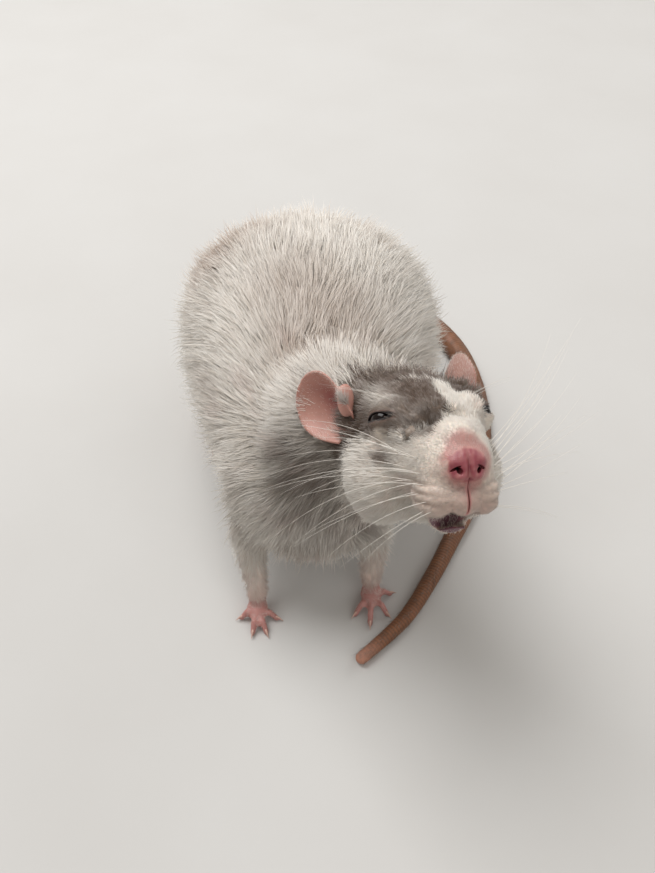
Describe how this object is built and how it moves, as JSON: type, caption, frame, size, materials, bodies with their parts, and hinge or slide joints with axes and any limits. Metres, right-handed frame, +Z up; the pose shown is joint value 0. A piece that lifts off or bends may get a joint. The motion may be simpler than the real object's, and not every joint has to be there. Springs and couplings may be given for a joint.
{
  "type": "pet rat",
  "caption": "Life-size still model of a crouching pet rat, head raised and turned, tail curled forward along its left side.",
  "frame": {"origin": "on the floor, under the centre of the whole model's box", "axes": "-Y is where the rat's body faces, +Z is up, +X is the rat's left side"},
  "size_m": [0.1136, 0.18, 0.0981],
  "materials": {
    "coat_white": "short soft cream-white fur with beige smudges",
    "coat_grey": "short grey-brown fur with a white blaze",
    "skin_pink": "thin pink skin, fine hairs",
    "tail_skin": "scaly brown skin with short bristles",
    "eye_black": "wet dark eye"
  },
  "bodies": {
    "root": {"head": "coat_grey", "muzzle": "coat_white", "neck": "coat_white", "torso": "coat_white", "foreleg_right": "coat_white", "foreleg_left": "coat_white", "hindleg_right": "coat_white", "hindleg_left": "coat_white", "forepaw_right": "skin_pink", "forepaw_left": "skin_pink", "hindfoot_right": "skin_pink", "hindfoot_left": "skin_pink", "ear_right": "skin_pink", "ear_left": "skin_pink", "eye_right": "eye_black", "eye_left": "eye_black", "tail_1": "tail_skin", "tail_2": "tail_skin", "tail_3": "tail_skin", "tail_4": "tail_skin"}
  },
  "joints": []
}
